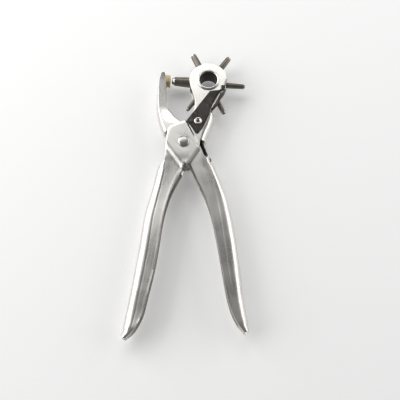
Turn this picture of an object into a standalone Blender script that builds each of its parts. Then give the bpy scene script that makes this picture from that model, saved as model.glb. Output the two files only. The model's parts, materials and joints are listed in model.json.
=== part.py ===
"""Revolving leather hole punch pliers: two pressed channel levers crossed on a rivet, with a punch wheel.

The tool lies on its back with the head towards +Y and the handles towards -Y. Lengths are in millimetres
until metres() scales them. Each piece is modelled about the tool's middle plane (z = 0) with the lever pivot
at x = y = 0, and is parented to an empty on the axis that it turns on. The back of the pivot plate ends up
at z = 0 of the world.
"""

import math

import bmesh
import bpy
from mathutils import Matrix, Vector

MM = 0.001

# Driving dimensions, in millimetres.
SHEET = 1.75                      # pressed steel of both levers
GAP = 0.35                        # running clearance between neighbouring pieces
HUB_HALF = 4.5                    # half thickness of the punch wheel's hub
CHEEK_HALF = HUB_HALF + GAP + SHEET   # middle plane to the outer face of the wheel lever's cheeks
PLATE_HALF = 8.6                  # the same at the raised pivot plates, which straddle the anvil lever
ANVIL_HALF = PLATE_HALF - SHEET - GAP  # middle plane to the outer face of the anvil lever
PIVOT = Vector((-2.37, 33.54, PLATE_HALF))  # lever pivot, measured from the middle of the tool's footprint
WHEEL = Vector((19.5, 54.6, 0.0))  # wheel axis, measured from the pivot

RING_R = 15.0                     # round end of the head
HUB_R = 14.0
HUB_BORE_R = 8.0
HUB_EDGE = 0.8
EYELET_R = 7.65                   # hollow axle of the wheel
EYELET_HOLE_R = 6.9
LIP_R = 9.0                       # the eyelet's rolled lips
LIP = 0.8
WHEEL_TURN = -5.6                 # degrees that the active tube points off the -X direction
TUBE_TIP = 29.2                   # cutting edge, from the wheel axis
TUBE_SEAT = 2.6                   # how far a tube is sunk in the hub's rim
BEVEL_LENGTH = 2.2                # ground taper at the cutting edge
CUTTING_EDGE = 0.25               # wall left at the cutting edge
# Hole size, outer diameter at the cutting edge, outer diameter at the hub, from the active tube on clockwise.
TUBE_SIZES = (
    (4.5, 7.0, 8.3),
    (4.0, 4.8, 5.6),
    (3.5, 4.3, 5.0),
    (3.0, 3.9, 4.6),
    (2.5, 3.5, 4.2),
    (2.0, 3.0, 3.7),
)

RIVET_R = 3.0
RIVET_HEAD_R = 4.4
RIVET_HEAD_H = 2.1
RIVET_SINK = 0.3                  # how far the flush end sits below the back plate
RIVET_SINK_R = 4.0
BUSH_R = 4.6

LEAF = 0.7                        # thickness of the detent spring
LEAF_LIFT = 0.3                   # gap between the leaf and the front cheek
LEAF_DROP = 3.4                   # how far the leaf's rolled edge hangs down beside the hub
LEAF_HOLE_R = 2.3
LEAF_RIVET = Vector((11.1, 17.7, 0.0))
LEAF_RIVET_R = 2.0
LEAF_RIVET_HEAD_R = 3.1
LEAF_RIVET_BORE_R = 1.3

SPRING_PIN = Vector((10.9, 8.6, 0.0))
PIN_R = 1.2
WIRE_R = 0.4
COIL_R = 1.1                      # to the middle of the wire
COIL_TURNS = 14
COIL_POINTS = 8                   # corners in each turn
HOOK_R = 2.1
HOOK_POINTS = 11
HOOK_OPEN = 60                    # degrees, half the mouth of each hook
NECK = 1.6                        # from a hook to the first coil
SPRING_BRIDGE = Vector((18.58, -12.4, 0.0))  # wall between the lower hook's hole and the wall's end
SPRING_HOLE_R = 1.3
SPRING_HOLE = SPRING_BRIDGE + Vector((1.09, -1.79, 0))
SPRING_HOLE_AXIS = (0.87, 0.49, 0)

PAD_HALF = ANVIL_HALF - SHEET - GAP
PAD_CENTRE = Vector((-13.45, 57.5, 0.0))
PAD_DEPTH = 5.1
PAD_LENGTH = 6.8
PAD_ROUND = 0.6
PAD_TURN = -4.4                   # degrees, squares the pad to the active tube when the jaws close
PAD_RIVET_R = 1.5
PAD_RIVET_LENGTH = 4.0
PAD_RIVET_BACK = 3.15             # from the pad's middle back to the rivet's middle

ROLL_STEPS = 3                    # facets in a rolled edge
FLAT_STEPS = 5                    # facets across a cheek
SHARP_EDGE = 35                   # degrees

# Plan of the wheel lever, from the left handle's tip to the head: left edge of the flat, right edge of the
# flat, how far a rolled wall bulges past the left edge and past the right edge (0 where the edge is open),
# and the number of facets up to the next row.
WHEEL_LEVER_ROWS = (
    ((-42.4, -149.0), (-40.6, -149.2), 2.2, 0, 1),
    ((-37.6, -144.0), (-35.2, -144.2), 6.0, 0, 1),
    ((-34.6, -133.0), (-29.2, -133.2), 6.6, 0, 1),
    ((-31.9, -118.0), (-25.4, -118.0), 6.5, 0, 2),
    ((-28.2, -98.0), (-20.9, -98.0), 7.0, 0, 2),
    ((-25.4, -79.0), (-17.9, -79.0), 6.8, 0, 2),
    ((-22.9, -60.0), (-15.1, -60.0), 6.8, 0, 2),
    ((-19.6, -45.0), (-11.3, -45.0), 6.4, 0, 2),
    ((-17.0, -33.5), (-7.6, -35.6), 6.1, 0, 2),
    ((-14.9, -22.5), (-4.6, -29.6), 6.0, 0, 2),
    ((-14.5, -14.6), (-3.4, -27.2), 5.0, 0, 2),
    ((-13.8, -7.4), (-2.0, -24.6), 0, 0, 4),
    ((-13.4, 2.6), (0.9, -18.0), 0, 0, 1),
    ((-13.0, 5.4), (4.2, -17.6), 0, 0, 1),
    ((-12.4, 9.0), (8.8, -11.0), 0, 0, 1),
    ((-10.8, 13.0), (11.8, -5.8), 0, 0, 1),
    ((-4.5, 16.0), (11.9, -5.4), 0, 0, 1),
    ((0.8, 17.9), (12.0, -4.8), 0, 0, 3),
    ((2.8, 19.0), (12.2, -1.6), 0, 0, 1),
    ((4.2, 20.8), (12.4, 2.4), 0, 4.8, 2),
    ((5.6, 22.8), (14.2, 9.5), 0, 5.0, 2),
    ((6.6, 25.0), (16.6, 15.8), 0, 5.2, 2),
    ((7.9, 27.5), (19.2, 22.2), 0, 5.2, 1),
    ((8.5, 30.5), (20.6, 25.6), 0, 5.0, 2),
    ((8.6, 36.2), (22.8, 34.0), 0, 0, 2),
    ((7.2, 42.5), (26.0, 40.4), 0, 0, 2),
    ((5.4, 48.7), (31.2, 45.6), 0, 0, 2),
)
RING_ANGLES = (0, 14, 28, 42, 56, 70, 82)   # of the round end's rows, up from its widest line

# Plan of the anvil lever, from the right handle's tip to the jaw's tip.
ANVIL_LEVER_ROWS = (
    ((42.6, -145.4), (44.2, -145.4), 0, 2.2, 1),
    ((38.0, -139.6), (40.2, -139.4), 0, 6.0, 1),
    ((33.6, -130.0), (37.2, -130.0), 0, 7.1, 1),
    ((30.6, -118.0), (35.2, -118.0), 0, 7.4, 2),
    ((27.6, -99.0), (32.5, -99.0), 0, 8.4, 2),
    ((24.4, -79.0), (30.0, -79.0), 0, 8.8, 2),
    ((20.9, -60.0), (27.5, -60.0), 0, 8.3, 2),
    ((16.5, -45.0), (24.8, -45.0), 0, 7.8, 2),
    ((12.4, -35.0), (22.2, -34.5), 0, 7.0, 2),
    ((8.8, -26.5), (19.9, -26.5), 0, 6.2, 2),
    ((5.7, -19.5), (17.8, -20.4), 0, 6.0, 2),
    ((3.4, -15.8), (16.9, -16.0), 0, 4.2, 1),
    ((1.8, -13.2), (16.6, -12.4), 0, 2.6, 1),
    ((-1.0, -9.8), (14.2, -9.2), 0, 0, 1),
    ((-4.0, -6.5), (9.8, -6.6), 0, 0, 2),
    ((-8.6, -1.4), (6.2, -1.4), 0, 0, 2),
    ((-11.4, 4.5), (2.0, 7.4), 0, 0, 2),
    ((-12.8, 10.0), (-1.5, 14.5), 3.4, 0, 2),
    ((-14.2, 17.5), (-3.8, 18.8), 4.9, 0, 2),
    ((-15.6, 25.5), (-8.9, 25.4), 5.2, 0, 2),
    ((-16.8, 33.5), (-13.2, 32.6), 4.8, 0, 2),
    ((-17.2, 45.0), (-13.8, 45.2), 4.0, 0, 2),
    ((-17.0, 55.0), (-14.2, 55.2), 3.2, 0, 2),
    ((-16.7, 60.6), (-14.7, 60.7), 2.0, 0, 1),
    ((-16.5, 62.2), (-15.4, 62.3), 1.0, 0, 1),
)

# Plan of the detent spring, from the end under its rivet to the finger that drops between two tubes.
LEAF_ROWS = (
    ((9.2, 7.9), (10.4, 7.6), 0, 0, 1),
    ((6.4, 12.6), (14.5, 12.2), 0, 0, 1),
    ((2.5, 18.9), (17.2, 18.0), 0, 0, 1),
    ((7.9, 26.5), (20.6, 25.4), 0, 0, 1),
    ((10.2, 29.7), (20.9, 28.8), 0, 1.8, 1),
    ((14.2, 35.3), (22.8, 33.4), 0, 3.4, 1),
    ((17.8, 40.4), (24.9, 37.6), 0, 3.5, 1),
    ((20.5, 44.2), (27.0, 41.0), 0, 3.4, 1),
    ((27.8, 45.0), (28.8, 43.6), 0, 2.9, 1),
    ((28.8, 45.7), (32.6, 45.4), 0, 0, 1),
    ((28.9, 49.5), (33.2, 49.1), 0, 0, 1),
)

# The bends of the wheel lever's plates below and above the raised part: a point of each and the way up.
LOWER_JOGGLE = (Vector((-12.1, 0.8)), Vector((18.3, 12.7)).normalized())
UPPER_JOGGLE = (Vector((1.9, 18.3)), Vector((-23.5, -10.9)).normalized())
TIP_SHARE = 0.62                  # thickness left at the very tip of a handle
TIP_LENGTH = 9.0


def clear_scene():
    for obj in list(bpy.data.objects):
        bpy.data.objects.remove(obj, do_unlink=True)


def new_collection(name):
    collection = bpy.data.collections.new(name)
    bpy.context.scene.collection.children.link(collection)
    return collection


def make_material(name, colour, roughness, metallic):
    material = bpy.data.materials.new(name)
    material.use_nodes = True
    shader = material.node_tree.nodes["Principled BSDF"]
    shader.inputs["Base Color"].default_value = (*colour, 1.0)
    shader.inputs["Roughness"].default_value = roughness
    shader.inputs["Metallic"].default_value = metallic
    return material


def metres(vector):
    return Vector(vector) * MM


def add_empty(name, location, parent=None):
    empty = bpy.data.objects.new(name, None)
    empty.location = metres(location)
    empty.parent = parent
    PARTS.objects.link(empty)
    return empty


def add_object(name, mesh, parent, location=(0, 0, 0), collection=None):
    obj = bpy.data.objects.new(name, mesh)
    obj.location = metres(location)
    obj.parent = parent
    (collection or PARTS).objects.link(obj)
    return obj


def shade(obj, material):
    """Gives a piece its material and smooth shading, with edges sharper than SHARP_EDGE kept crisp."""
    obj.data.materials.append(material)
    bpy.context.view_layer.objects.active = obj
    obj.select_set(True)
    bpy.ops.object.shade_auto_smooth(angle=math.radians(SHARP_EDGE))
    obj.select_set(False)
    return obj


def smooth_step(value):
    value = min(max(value, 0.0), 1.0)
    return value * value * (3 - 2 * value)


def spline(before, start, end, after, t):
    """Catmull-Rom curve from start to end."""
    return 0.5 * (
        2 * start
        + (end - before) * t
        + (2 * before - 5 * start + 4 * end - after) * t * t
        + (3 * start - before - 3 * end + after) * t ** 3
    )


def roll_between(roll, next_roll, t):
    """Bulge of a rolled wall between two rows. It ends square at the last row that has one."""
    if roll and next_roll:
        return roll + (next_roll - roll) * t
    return roll if t == 0 else 0


def refined_rows(rows):
    """The plan's rows with smooth curves between them, as (left, right, left roll, right roll)."""
    points = [(Vector(left), Vector(right), *rest) for left, right, *rest in rows]
    last = len(points) - 1
    fine = []
    for i in range(last):
        left, right, left_roll, right_roll, steps = points[i]
        before = points[max(i - 1, 0)]
        end = points[i + 1]
        after = points[min(i + 2, last)]
        for k in range(steps):
            t = k / steps
            fine.append((
                spline(before[0], left, end[0], after[0], t),
                spline(before[1], right, end[1], after[1], t),
                roll_between(left_roll, end[2], t),
                roll_between(right_roll, end[3], t),
            ))
    fine.append(points[last][:4])
    return fine


def outward(rows, i, side):
    """Unit normal of the left (side 0) or right (side 1) edge at row i, pointing away from the flat."""
    along = rows[min(i + 1, len(rows) - 1)][side] - rows[max(i - 1, 0)][side]
    along.normalize()
    normal = Vector((along.y, -along.x))
    return normal if side else -normal


def strip_mesh(name, rows, level, drop, mirrored):
    """An open sheet over the plan: a flat at level(point) whose rolled edges come down by drop(level)."""
    mesh = bpy.data.meshes.new(name)
    bm = bmesh.new()
    signs = (1, -1) if mirrored else (1,)
    vertices = {}

    def vertex(row, column, point, z, sign):
        key = (row, column, sign if abs(z) > 1e-6 else 0)
        if key not in vertices:
            vertices[key] = bm.verts.new(metres((point.x, point.y, sign * z)))
        return vertices[key]

    grid = []
    for i, (left, right, left_roll, right_roll) in enumerate(rows):
        columns = {}
        for k in range(FLAT_STEPS + 1):
            point = left.lerp(right, k / FLAT_STEPS)
            columns[k] = (point, level(point))
        for side, roll, edge, first, step in (
            (0, left_roll, left, 0, -1),
            (1, right_roll, right, FLAT_STEPS, 1),
        ):
            if not roll:
                continue
            normal = outward(rows, i, side)
            top = level(edge)
            for k in range(1, ROLL_STEPS + 1):
                angle = math.pi / 2 * k / ROLL_STEPS
                z = top - drop(top) * (1 - math.cos(angle))
                columns[first + step * k] = (edge + normal * roll * math.sin(angle), z)
        grid.append(columns)
    for sign in signs:
        for i in range(len(grid) - 1):
            for k in range(-ROLL_STEPS, FLAT_STEPS + ROLL_STEPS):
                corners = [(i, k), (i, k + 1), (i + 1, k + 1), (i + 1, k)]
                if any(column not in grid[row] for row, column in corners):
                    continue
                face = [vertex(row, column, *grid[row][column], sign) for row, column in corners]
                bm.faces.new(face if sign > 0 else face[::-1])
    bm.to_mesh(mesh)
    bm.free()
    return mesh


def add_solidify(obj, thickness):
    solidify = obj.modifiers.new("sheet", "SOLIDIFY")
    solidify.thickness = thickness * MM
    solidify.offset = -1
    solidify.use_even_offset = True
    solidify.use_quality_normals = True


def add_cut(obj, cutter):
    cut = obj.modifiers.new("cut " + cutter.name, "BOOLEAN")
    cut.operation = "DIFFERENCE"
    cut.solver = "EXACT"
    cut.object = cutter


def hide_cutter(cutter):
    cutter.hide_render = True
    cutter.display_type = "WIRE"
    return cutter


def cone_cutter(name, centre, lower_r, upper_r, length, parent, direction=(0, 0, 1), sides=48):
    mesh = bpy.data.meshes.new(name)
    bm = bmesh.new()
    bmesh.ops.create_cone(
        bm, cap_ends=True, segments=sides, radius1=lower_r * MM, radius2=upper_r * MM, depth=length * MM
    )
    turn = Vector((0, 0, 1)).rotation_difference(Vector(direction)).to_matrix().to_4x4()
    bmesh.ops.transform(bm, matrix=turn, verts=bm.verts)
    bm.to_mesh(mesh)
    bm.free()
    return hide_cutter(add_object(name, mesh, parent, centre, CUTTERS))


def cylinder_cutter(name, centre, radius, length, parent, direction=(0, 0, 1), sides=48):
    return cone_cutter(name, centre, radius, radius, length, parent, direction, sides)


def turned_part(name, profile, material, parent, location=(0, 0, 0), closed=False, steps=48):
    """A lathe shape about Z. The profile holds (radius, height) pairs and runs down the outer side."""
    mesh = bpy.data.meshes.new(name)
    points = [metres((radius, 0, height)) for radius, height in profile]
    edges = [(i, i + 1) for i in range(len(points) - 1)]
    if closed:
        edges.append((len(points) - 1, 0))
    mesh.from_pydata(points, edges, [])
    obj = add_object(name, mesh, parent, location)
    screw = obj.modifiers.new("turn", "SCREW")
    screw.steps = steps
    screw.render_steps = steps
    screw.use_merge_vertices = True
    screw.merge_threshold = 0.00001
    screw.use_smooth_shade = True
    return shade(obj, material)


def wheel_lever_level(point):
    """Half thickness of the wheel lever at a point of its plan, raised round the pivot between the joggles."""
    lower = (point - LOWER_JOGGLE[0]).dot(LOWER_JOGGLE[1])
    upper = (point - UPPER_JOGGLE[0]).dot(UPPER_JOGGLE[1])
    raised = smooth_step((lower + 6.0) / 5.6) * smooth_step((upper + 0.8) / 2.0)
    return (CHEEK_HALF + (PLATE_HALF - CHEEK_HALF) * raised) * tip_share(point.y + 151.0)


def anvil_lever_level(point):
    """Half thickness of the anvil lever at a point of its plan."""
    return ANVIL_HALF * tip_share(point.y + 147.5)


def tip_share(distance):
    """How much of its thickness a handle keeps this far from the end of its tip."""
    return TIP_SHARE + (1 - TIP_SHARE) * smooth_step(distance / TIP_LENGTH)


def ring_rows():
    """Rows of the head's round end."""
    rows = []
    for degrees in RING_ANGLES:
        angle = math.radians(degrees)
        reach = Vector((RING_R * math.cos(angle), RING_R * math.sin(angle)))
        left = (WHEEL.x - reach.x, WHEEL.y + reach.y)
        right = (WHEEL.x + reach.x, WHEEL.y + reach.y)
        rows.append((left, right, 0, 0, 1))
    return tuple(rows)


def make_wheel_lever():
    rows = refined_rows(WHEEL_LEVER_ROWS + ring_rows())
    mesh = strip_mesh("wheel_lever", rows, wheel_lever_level, lambda top: top, mirrored=True)
    lever = add_object("wheel_lever", mesh, PIVOT_AXIS)
    add_solidify(lever, SHEET)
    deep = 3 * PLATE_HALF
    leaf_hole = LEAF_RIVET + Vector((0, 0, CHEEK_HALF))
    cuts = (
        cylinder_cutter("wheel_lever_pivot_cut", (0, 0, 0), RIVET_R + GAP, deep, PIVOT_AXIS),
        cylinder_cutter("wheel_lever_axle_cut", WHEEL, HUB_BORE_R, deep, PIVOT_AXIS),
        cylinder_cutter("wheel_lever_leaf_cut", leaf_hole, LEAF_HOLE_R, 8, PIVOT_AXIS, sides=24),
        cylinder_cutter("wheel_lever_pin_cut", SPRING_PIN, PIN_R + GAP, deep, PIVOT_AXIS, sides=24),
        cone_cutter("wheel_lever_sink_cut", (0, 0, -PLATE_HALF), 6.0, 3.0, 3.0, PIVOT_AXIS),
    )
    for cutter in cuts:
        add_cut(lever, cutter)
    return shade(lever, SATIN_NICKEL)


def make_anvil_lever():
    rows = refined_rows(ANVIL_LEVER_ROWS)
    wall_at = pad_point(-PAD_DEPTH / 2 - 2.4)
    mesh = strip_mesh("anvil_lever", rows, anvil_lever_level, lambda top: top, mirrored=True)
    lever = add_object("anvil_lever", mesh, PIVOT_AXIS)
    add_solidify(lever, SHEET)
    cuts = (
        cylinder_cutter("anvil_lever_pivot_cut", (0, 0, 0), RIVET_R + GAP, 30, PIVOT_AXIS),
        cylinder_cutter("anvil_lever_hook_cut", SPRING_HOLE, SPRING_HOLE_R, 6, PIVOT_AXIS, SPRING_HOLE_AXIS, 20),
        cylinder_cutter("anvil_lever_rivet_cut", wall_at, PAD_RIVET_R + GAP, 6, PIVOT_AXIS, pad_axis(), 20),
    )
    for cutter in cuts:
        add_cut(lever, cutter)
    return shade(lever, SATIN_NICKEL)


def pad_axis():
    """Direction from the jaw's back wall through the anvil pad towards the active tube."""
    angle = math.radians(PAD_TURN)
    return Vector((math.cos(angle), math.sin(angle), 0))


def pad_point(distance):
    return PAD_CENTRE + pad_axis() * distance


def make_anvil_pad():
    mesh = bpy.data.meshes.new("anvil_pad")
    bm = bmesh.new()
    bmesh.ops.create_cube(bm, size=1.0)
    size = Matrix.Diagonal((PAD_DEPTH * MM, PAD_LENGTH * MM, 2 * PAD_HALF * MM, 1.0))
    bmesh.ops.transform(bm, matrix=size, verts=bm.verts)
    bm.to_mesh(mesh)
    bm.free()
    pad = add_object("anvil_pad", mesh, PIVOT_AXIS, PAD_CENTRE)
    pad.rotation_euler.z = math.radians(PAD_TURN)
    bevel = pad.modifiers.new("rounded edges", "BEVEL")
    bevel.width = PAD_ROUND * MM
    bevel.segments = 2
    bore_r = PAD_RIVET_R + GAP
    bore_at = pad_point(-PAD_DEPTH / 2 - 0.4)
    add_cut(pad, cylinder_cutter("anvil_pad_bore_cut", bore_at, bore_r, 4.5, PIVOT_AXIS, pad_axis(), 20))
    return shade(pad, BRASS)


def make_anvil_rivet():
    """Stub that holds the pad, flush in the jaw's back wall."""
    half = PAD_RIVET_LENGTH / 2
    profile = ((0, half), (PAD_RIVET_R, half), (PAD_RIVET_R, -half), (0, -half))
    rivet = turned_part("anvil_rivet", profile, STEEL, PIVOT_AXIS, pad_point(-PAD_RIVET_BACK), steps=20)
    rivet.rotation_mode = "QUATERNION"
    rivet.rotation_quaternion = Vector((0, 0, 1)).rotation_difference(pad_axis())
    return rivet


def make_pivot_rivet():
    """Domed head in front, countersunk and flush behind."""
    seat = PLATE_HALF + GAP
    rim = 0.25 * RIVET_HEAD_H
    flush = RIVET_SINK - PLATE_HALF
    profile = []
    for degrees in range(0, 91, 15):
        angle = math.radians(degrees)
        profile.append((RIVET_HEAD_R * math.sin(angle), seat + rim + (RIVET_HEAD_H - rim) * math.cos(angle)))
    profile += [(RIVET_HEAD_R, seat), (RIVET_R, seat)]
    profile += [(RIVET_R, flush + RIVET_SINK_R - RIVET_R), (RIVET_SINK_R, flush), (0, flush)]
    return turned_part("pivot_rivet", profile, BRIGHT_NICKEL, PIVOT_AXIS, steps=40)


def make_pivot_bush():
    """Spacer on the rivet that keeps the anvil lever's two plates apart."""
    half = ANVIL_HALF - SHEET - GAP
    profile = ((BUSH_R, half), (BUSH_R, -half), (RIVET_R + GAP, -half), (RIVET_R + GAP, half))
    return turned_part("pivot_bush", profile, STEEL, PIVOT_AXIS, closed=True, steps=32)


def make_wheel_eyelet():
    """Hollow axle with a rolled lip on each face of the head."""
    under = CHEEK_HALF + GAP
    top = under + LIP
    edge = LIP / 2
    profile = (
        (LIP_R - edge, top),
        (LIP_R, top - edge),
        (LIP_R, under),
        (EYELET_R, under),
        (EYELET_R, -under),
        (LIP_R, -under),
        (LIP_R, edge - top),
        (LIP_R - edge, -top),
        (EYELET_HOLE_R + edge, -top),
        (EYELET_HOLE_R, edge - top),
        (EYELET_HOLE_R, top - edge),
        (EYELET_HOLE_R + edge, top),
    )
    return turned_part("wheel_eyelet", profile, BRIGHT_NICKEL, WHEEL_AXIS, closed=True, steps=48)


def tube_direction(index):
    """Tube 0 is the active one, which faces the anvil; the rest follow clockwise."""
    angle = math.radians(180 + WHEEL_TURN - 60 * index)
    return Vector((math.cos(angle), math.sin(angle), 0))


def make_wheel_hub():
    """Drum with a seat for each tube in its rim and a hole through each seat for the punched discs."""
    edge = HUB_EDGE
    profile = (
        (HUB_R - edge, HUB_HALF),
        (HUB_R, HUB_HALF - edge),
        (HUB_R, edge - HUB_HALF),
        (HUB_R - edge, -HUB_HALF),
        (HUB_BORE_R, -HUB_HALF),
        (HUB_BORE_R, HUB_HALF),
    )
    hub = turned_part("wheel_hub", profile, BLACK_OXIDE, WHEEL_AXIS, closed=True, steps=48)
    seat_from = HUB_R - TUBE_SEAT - GAP
    seat_length = 8.0
    waste_length = 2 * (seat_from - HUB_BORE_R) + 2
    for index, (hole, _, root) in enumerate(TUBE_SIZES):
        direction = tube_direction(index)
        seat_at = direction * (seat_from + seat_length / 2)
        seat_r = min(root / 2 + GAP, HUB_HALF - 0.2)
        seat_name = f"hub_seat_cut_{index + 1}"
        add_cut(hub, cylinder_cutter(seat_name, seat_at, seat_r, seat_length, WHEEL_AXIS, direction, 24))
        waste_at = direction * HUB_BORE_R
        waste_name = f"hub_waste_cut_{index + 1}"
        add_cut(hub, cylinder_cutter(waste_name, waste_at, hole / 2, waste_length, WHEEL_AXIS, direction, 24))
    return hub


def make_punch_tube(index):
    """Hollow cutter: straight root in the hub, tapered body, short ground edge, bored right through."""
    hole, tip, root = TUBE_SIZES[index]
    start = HUB_R - TUBE_SEAT
    body_end = TUBE_TIP - BEVEL_LENGTH
    profile = (
        (hole / 2 + CUTTING_EDGE, TUBE_TIP),
        (tip / 2, body_end),
        (root / 2, HUB_R + 1.0),
        (root / 2, start),
        (hole / 2, start),
        (hole / 2, TUBE_TIP),
    )
    tube = turned_part(f"punch_tube_{index + 1}", profile, BLACK_OXIDE, WHEEL_AXIS, closed=True, steps=24)
    tube.rotation_mode = "QUATERNION"
    tube.rotation_quaternion = Vector((0, 0, 1)).rotation_difference(tube_direction(index))
    return tube


def make_detent_spring():
    """Leaf on the front cheek, with a rolled edge beside the hub and a finger that clicks on the tubes."""
    top = CHEEK_HALF + LEAF_LIFT + LEAF
    rows = refined_rows(LEAF_ROWS)
    mesh = strip_mesh("detent_spring", rows, lambda point: top, lambda level: LEAF_DROP, mirrored=False)
    leaf = add_object("detent_spring", mesh, PIVOT_AXIS)
    add_solidify(leaf, LEAF)
    hole_at = LEAF_RIVET + Vector((0, 0, top))
    add_cut(leaf, cylinder_cutter("leaf_rivet_cut", hole_at, LEAF_HOLE_R, 4, PIVOT_AXIS, sides=24))
    return shade(leaf, BLACK_OXIDE)


def make_detent_rivet():
    """Tubular rivet through the leaf and the front cheek, rolled over behind the cheek."""
    seat = CHEEK_HALF + 2 * LEAF_LIFT + LEAF
    tail = CHEEK_HALF - SHEET - LEAF_LIFT
    head = 1.0
    rolled = 0.6
    profile = (
        (LEAF_RIVET_HEAD_R - rolled, seat + head),
        (LEAF_RIVET_HEAD_R, seat + head / 2),
        (LEAF_RIVET_HEAD_R, seat),
        (LEAF_RIVET_R, seat),
        (LEAF_RIVET_R, tail),
        (LEAF_RIVET_R + rolled, tail),
        (LEAF_RIVET_R + rolled, tail - rolled),
        (LEAF_RIVET_BORE_R, tail - rolled),
        (LEAF_RIVET_BORE_R, seat + head),
    )
    return turned_part("detent_rivet", profile, BRIGHT_NICKEL, PIVOT_AXIS, LEAF_RIVET, closed=True, steps=24)


def make_spring_pin():
    """Cross pin between the cheeks that holds the return spring's upper hook."""
    half = CHEEK_HALF - 0.1
    profile = ((0, half), (PIN_R, half), (PIN_R, -half), (0, -half))
    return turned_part("spring_pin", profile, STEEL, PIVOT_AXIS, SPRING_PIN, steps=20)


def spring_path():
    """Centre line of the return spring: hook round the pin, coils, hook through the anvil lever's wall."""
    axis = (SPRING_BRIDGE - SPRING_PIN).normalized()
    side = Vector((axis.y, -axis.x, 0))
    up = Vector((0, 0, 1))
    hook_step = (360 - 2 * HOOK_OPEN + 10) / (HOOK_POINTS - 1)
    points = []
    for k in range(HOOK_POINTS):
        angle = math.radians(HOOK_OPEN + hook_step * k)
        points.append(SPRING_PIN + (axis * math.cos(angle) - side * math.sin(angle)) * HOOK_R)
    coils = COIL_POINTS * COIL_TURNS
    first = SPRING_PIN + axis * (HOOK_R + NECK)
    last = SPRING_BRIDGE - axis * (HOOK_R + NECK)
    for k in range(coils + 1):
        turn = math.tau * k / COIL_POINTS
        points.append(first.lerp(last, k / coils) + (side * math.cos(turn) + up * math.sin(turn)) * COIL_R)
    for k in range(HOOK_POINTS):
        angle = math.radians(HOOK_OPEN + hook_step * k)
        points.append(SPRING_BRIDGE - (axis * math.cos(angle) - side * math.sin(angle)) * HOOK_R)
    return points


def make_return_spring():
    """Tension spring across the open side of the joint; it pulls the handles apart."""
    curve = bpy.data.curves.new("return_spring", "CURVE")
    curve.dimensions = "3D"
    curve.bevel_depth = WIRE_R * MM
    curve.bevel_resolution = 1
    curve.use_fill_caps = True
    points = spring_path()
    wire = curve.splines.new("POLY")
    wire.points.add(len(points) - 1)
    for slot, point in zip(wire.points, points):
        slot.co = (*metres(point), 1)
    curve.materials.append(BLACK_OXIDE)
    wire.use_smooth = True
    return add_object("return_spring", curve, PIVOT_AXIS)


clear_scene()
PARTS = new_collection("rotary_hole_punch")
CUTTERS = new_collection("cutters")
SATIN_NICKEL = make_material("satin_nickel", (0.76, 0.75, 0.73), 0.32, 1.0)
BRIGHT_NICKEL = make_material("bright_nickel", (0.84, 0.84, 0.82), 0.18, 1.0)
BLACK_OXIDE = make_material("black_oxide", (0.055, 0.052, 0.048), 0.42, 0.6)
BRASS = make_material("brass", (0.62, 0.5, 0.24), 0.35, 1.0)
STEEL = make_material("steel", (0.6, 0.6, 0.6), 0.35, 1.0)
PIVOT_AXIS = add_empty("pivot_axis", PIVOT)
WHEEL_AXIS = add_empty("wheel_axis", WHEEL, PIVOT_AXIS)

make_wheel_lever()
make_anvil_lever()
make_pivot_rivet()
make_pivot_bush()
make_anvil_pad()
make_anvil_rivet()
make_wheel_hub()
make_wheel_eyelet()
for tube_index in range(len(TUBE_SIZES)):
    make_punch_tube(tube_index)
make_detent_spring()
make_detent_rivet()
make_spring_pin()
make_return_spring()
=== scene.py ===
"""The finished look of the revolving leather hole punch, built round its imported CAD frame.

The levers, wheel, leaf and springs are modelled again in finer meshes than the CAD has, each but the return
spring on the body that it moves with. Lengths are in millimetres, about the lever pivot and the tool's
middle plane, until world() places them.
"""

import json
import math

import bmesh
import bpy
from mathutils import Matrix, Vector

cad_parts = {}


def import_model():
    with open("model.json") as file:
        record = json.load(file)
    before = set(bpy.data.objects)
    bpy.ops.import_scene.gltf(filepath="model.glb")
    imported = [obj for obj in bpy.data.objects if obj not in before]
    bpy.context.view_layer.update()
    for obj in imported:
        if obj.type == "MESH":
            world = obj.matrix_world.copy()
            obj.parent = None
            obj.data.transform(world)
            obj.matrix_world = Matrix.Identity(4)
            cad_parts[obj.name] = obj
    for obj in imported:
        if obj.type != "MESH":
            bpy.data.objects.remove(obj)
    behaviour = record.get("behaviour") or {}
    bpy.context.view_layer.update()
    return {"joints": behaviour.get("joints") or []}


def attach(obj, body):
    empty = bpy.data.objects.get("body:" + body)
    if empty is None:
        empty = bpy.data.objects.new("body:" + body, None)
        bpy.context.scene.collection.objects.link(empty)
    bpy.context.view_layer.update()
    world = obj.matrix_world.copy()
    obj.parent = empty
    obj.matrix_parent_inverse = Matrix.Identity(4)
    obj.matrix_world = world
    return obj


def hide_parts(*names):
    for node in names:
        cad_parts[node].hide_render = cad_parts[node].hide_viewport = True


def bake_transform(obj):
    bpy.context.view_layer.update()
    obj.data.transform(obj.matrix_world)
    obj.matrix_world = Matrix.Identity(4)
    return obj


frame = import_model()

MM = 0.001
JOINTS = {joint["name"]: joint for joint in frame["joints"]}
PIVOT = Vector(JOINTS["lever_pivot"]["pos_m"]) / MM
WHEEL = Vector(JOINTS["wheel_spin"]["pos_m"]) / MM - PIVOT

# Driving dimensions, in millimetres, as in the CAD apart from a few finer clearances.
SHEET = 1.75                      # pressed steel of both levers
GAP = 0.35                        # running clearance between neighbouring pieces
SNUG = 0.05                       # clearance of pieces that are fixed together
HUB_HALF = 4.5                    # half thickness of the punch wheel's hub
CHEEK_HALF = HUB_HALF + GAP + SHEET   # middle plane to the outer face of the head's cheeks
PLATE_HALF = PIVOT.z              # the same at the raised pivot plates
ANVIL_HALF = PLATE_HALF - SHEET - GAP   # middle plane to the outer face of the anvil lever
CUT_EDGE = 0.14                   # rounding along the sheets' cut edges

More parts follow.
